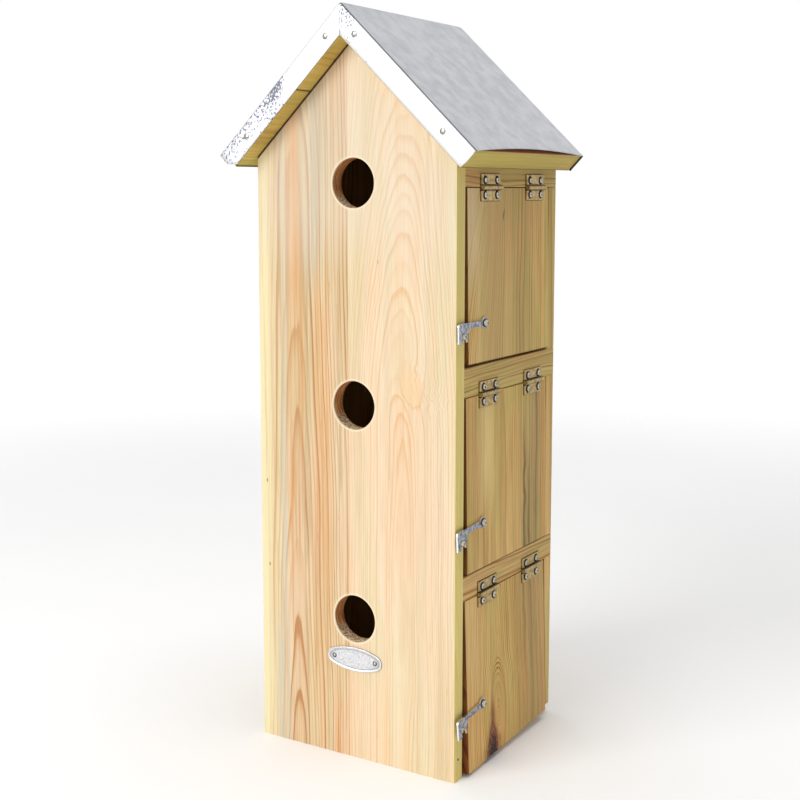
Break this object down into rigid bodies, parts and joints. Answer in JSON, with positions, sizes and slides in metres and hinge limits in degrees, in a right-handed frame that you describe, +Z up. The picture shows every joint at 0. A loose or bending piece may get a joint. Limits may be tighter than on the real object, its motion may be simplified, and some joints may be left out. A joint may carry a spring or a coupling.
{
  "type": "sparrow terrace nest box",
  "caption": "Upright wooden nest box for sparrows with stacked chambers, a round entrance and a hooked side door for each, and a zinc-covered gable roof.",
  "frame": {"origin": "on the ground, under the middle of the roof's outline", "axes": "+Z up, the front with the entrance holes faces -Y, the doors are on the +X side"},
  "size_m": [0.2044, 0.1642, 0.5221],
  "materials": {
    "front_pine": "planed pine, clear",
    "side_pine": "planed pine, greenish treated",
    "door_pine": "planed pine, greenish treated",
    "plain_pine": "planed pine",
    "roof_pine": "planed pine, green treated",
    "zinc": "bare zinc sheet, faintly mottled",
    "plate_metal": "satin, bare",
    "hinge_metal": "yellow passivated",
    "bright_zinc": "bright zinc plated"
  },
  "bodies": {
    "house": {"front_board": "front_pine", "back_board": "plain_pine", "left_wall": "plain_pine", "bottom_floor": "plain_pine", "lower_floor": "plain_pine", "upper_floor": "plain_pine", "top_rail": "side_pine", "upper_rail": "side_pine", "lower_rail": "side_pine", "rear_strips": "side_pine", "left_ridge_plank": "roof_pine", "left_eave_plank": "roof_pine", "right_ridge_plank": "roof_pine", "right_eave_plank": "roof_pine", "roof_sheet": "zinc", "oval_plate": "plate_metal", "catch_screws": "bright_zinc", "upper_frame_leaves": "hinge_metal", "middle_frame_leaves": "hinge_metal", "lowest_frame_leaves": "hinge_metal", "upper_hinge_pins": "hinge_metal", "middle_hinge_pins": "hinge_metal", "lowest_hinge_pins": "hinge_metal"},
    "upper_door": {"upper_door": "door_pine", "upper_door_leaves": "hinge_metal", "upper_pivot_screw": "bright_zinc"},
    "upper_hook": {"upper_hook": "bright_zinc"},
    "middle_door": {"middle_door": "door_pine", "middle_door_leaves": "hinge_metal", "middle_pivot_screw": "bright_zinc"},
    "middle_hook": {"middle_hook": "bright_zinc"},
    "lowest_door": {"lowest_door": "door_pine", "lowest_door_leaves": "hinge_metal", "lowest_pivot_screw": "bright_zinc"},
    "lowest_hook": {"lowest_hook": "bright_zinc"}
  },
  "joints": [
    {"name": "upper_door_hinge", "type": "hinge", "parent": "house", "child": "upper_door", "pos_m": [0.0823, 0.00745, 0.4018], "axis": [0, -1, 0], "range_deg": [-0.9, 100]},
    {"name": "upper_hook_pivot", "type": "hinge", "parent": "upper_door", "child": "upper_hook", "pos_m": [0.08192, -0.03262, 0.31168], "axis": [-0.9999, 0, -0.0157], "range_deg": [0, 90]},
    {"name": "middle_door_hinge", "type": "hinge", "parent": "house", "child": "middle_door", "pos_m": [0.0823, 0.00745, 0.2628], "axis": [0, -1, 0], "range_deg": [-0.9, 100]},
    {"name": "middle_hook_pivot", "type": "hinge", "parent": "middle_door", "child": "middle_hook", "pos_m": [0.08188, -0.03303, 0.17478], "axis": [-0.9999, 0, -0.0157], "range_deg": [0, 90]},
    {"name": "lowest_door_hinge", "type": "hinge", "parent": "house", "child": "lowest_door", "pos_m": [0.0823, 0.00745, 0.1238], "axis": [0, -1, 0], "range_deg": [-1.9, 100]},
    {"name": "lowest_hook_pivot", "type": "hinge", "parent": "lowest_door", "child": "lowest_hook", "pos_m": [0.08307, -0.03341, 0.04628], "axis": [-0.9995, 0, -0.0332], "range_deg": [0, 90]}
  ]
}
